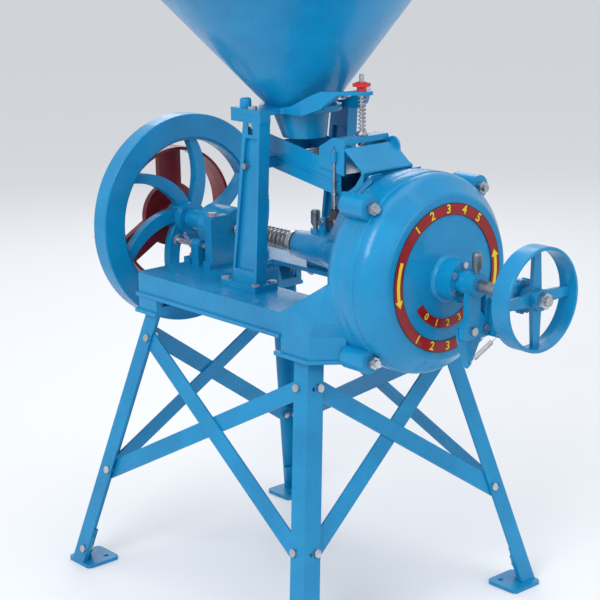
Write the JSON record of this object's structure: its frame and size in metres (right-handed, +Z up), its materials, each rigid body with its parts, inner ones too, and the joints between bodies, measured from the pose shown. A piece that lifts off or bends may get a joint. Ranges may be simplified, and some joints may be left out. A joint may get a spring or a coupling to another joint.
{
  "type": "corn flour mill",
  "caption": "Blue cast-iron plate mill on an angle-iron stand with a conical hopper, spoked flywheel, belt pulley and a hand wheel that sets the grinding gap",
  "frame": {"origin": "floor level, midway between the four stand feet's bolt holes, below the main shaft", "axes": "+X along the main shaft from the drive pulley to the hand wheel, +Y away from the picture's viewer, +Z up"},
  "size_m": [1.272, 0.74, 1.4165],
  "materials": {
    "blue_enamel": "glossy",
    "red_oxide_paint": "satin",
    "red_knob": "glossy",
    "zinc_fastener": "satin",
    "bright_steel": "satin",
    "spring_steel": "satin",
    "raw_iron": "matte",
    "bronze": "satin",
    "cup_steel": "glossy"
  },
  "bodies": {
    "frame": {"leg_rear_near": "blue_enamel", "leg_rear_far": "blue_enamel", "leg_front_near": "blue_enamel", "leg_front_far": "blue_enamel", "feet": "blue_enamel", "stand_bolts_and_nuts": "zinc_fastener", "brace_packing_washers": "zinc_fastener", "braces_near": "blue_enamel", "braces_far": "blue_enamel", "braces_rear": "blue_enamel", "braces_front": "blue_enamel", "bed_frame": "blue_enamel", "mill_body": "blue_enamel", "front_cover": "blue_enamel", "cover_bolts_and_nuts": "zinc_fastener", "rear_bearing_base": "blue_enamel", "rear_bearing_cap": "blue_enamel", "rear_bearing_bolts": "zinc_fastener", "bearing_jack_screw": "zinc_fastener", "shaft_bushes": "bronze", "fixed_plate": "raw_iron", "screw_housing": "blue_enamel", "housing_bolts": "zinc_fastener", "post_near": "blue_enamel", "post_far": "blue_enamel", "hopper": "blue_enamel", "hopper_spout": "blue_enamel", "hopper_yoke": "blue_enamel", "shoe_pivot_pin": "bright_steel", "feed_inlet": "blue_enamel", "grease_cups": "cup_steel", "frame_bolts_and_nuts": "zinc_fastener", "shaft_spring": "spring_steel", "feed_spring": "spring_steel", "lever_spring": "spring_steel", "shaker_spring": "spring_steel"},
    "thrust_carrier": {"thrust_cup_and_ball": "bright_steel"},
    "hand_wheel": {"hand_wheel": "blue_enamel", "hand_wheel_nut": "zinc_fastener", "notched_wheel": "blue_enamel", "adjusting_screw": "bright_steel"},
    "rotor": {"main_shaft": "bright_steel", "shaft_keys": "bright_steel", "flywheel": "blue_enamel", "drive_pulley": "red_oxide_paint", "bearing_spacer": "blue_enamel", "spring_collar": "bright_steel", "shaker_cam": "raw_iron", "feed_worm": "raw_iron", "runner_plate": "raw_iron", "runner_disc": "raw_iron", "disc_nut": "zinc_fastener"},
    "locking_lever": {"locking_lever": "bright_steel"},
    "feed_knob": {"feed_knob": "red_knob"},
    "feed_rod": {"feed_rod": "bright_steel"},
    "feed_shoe": {"feed_shoe": "blue_enamel", "riddle_plate": "bright_steel", "shoe_end_bracket": "blue_enamel", "shaker_rod": "bright_steel"},
    "shaker_lever": {"shaker_lever": "raw_iron"}
  },
  "joints": [
    {"name": "plate_gap", "type": "slide", "parent": "frame", "child": "thrust_carrier", "axis": [1, 0, 0], "range_m": [-0.0015, 0.0045]},
    {"name": "hand_wheel_turn", "type": "hinge", "parent": "thrust_carrier", "child": "hand_wheel", "pos_m": [0.6, 0, 0.819], "axis": [1, 0, 0], "range_deg": [-180, 540]},
    {"name": "shaft_turn", "type": "hinge", "parent": "thrust_carrier", "child": "rotor", "pos_m": [0, 0, 0.819], "axis": [1, 0, 0], "continuous": true, "deforming": ["shaft_spring"]},
    {"name": "locking_lever_swing", "type": "hinge", "parent": "frame", "child": "locking_lever", "pos_m": [0.546, 0.033, 0.72], "axis": [1, 0, 0], "range_deg": [-6, 6], "stiffness_Nm_per_rad": 1, "springref_deg": -3.13, "deforming": ["lever_spring"]},
    {"name": "feed_knob_turn", "type": "hinge", "parent": "frame", "child": "feed_knob", "pos_m": [0.229, 0, 1.19], "axis": [0, 0, 1], "range_deg": [-750, 1500]},
    {"name": "feed_rod_lift", "type": "slide", "parent": "frame", "child": "feed_rod", "axis": [0, 0, 1], "range_m": [-0.0042, 0.0084], "deforming": ["feed_spring"]},
    {"name": "feed_shoe_tilt", "type": "hinge", "parent": "frame", "child": "feed_shoe", "pos_m": [0.008, 0, 1.016], "axis": [0, -1, 0], "range_deg": [-1.03, 2.07]},
    {"name": "shaker_lever_rock", "type": "hinge", "parent": "frame", "child": "shaker_lever", "pos_m": [0.11, 0, 0.885], "axis": [0, -1, 0], "range_deg": [0, 2], "stiffness_Nm_per_rad": 2, "deforming": ["shaker_spring"]}
  ],
  "couplings": [
    {"joint": "plate_gap", "follows": "hand_wheel_turn", "m_per_rad": 0.00047746},
    {"joint": "feed_rod_lift", "follows": "feed_shoe_tilt", "m_per_rad": 0.221},
    {"joint": "feed_knob_turn", "follows": "feed_shoe_tilt", "ratio": 694.29}
  ]
}
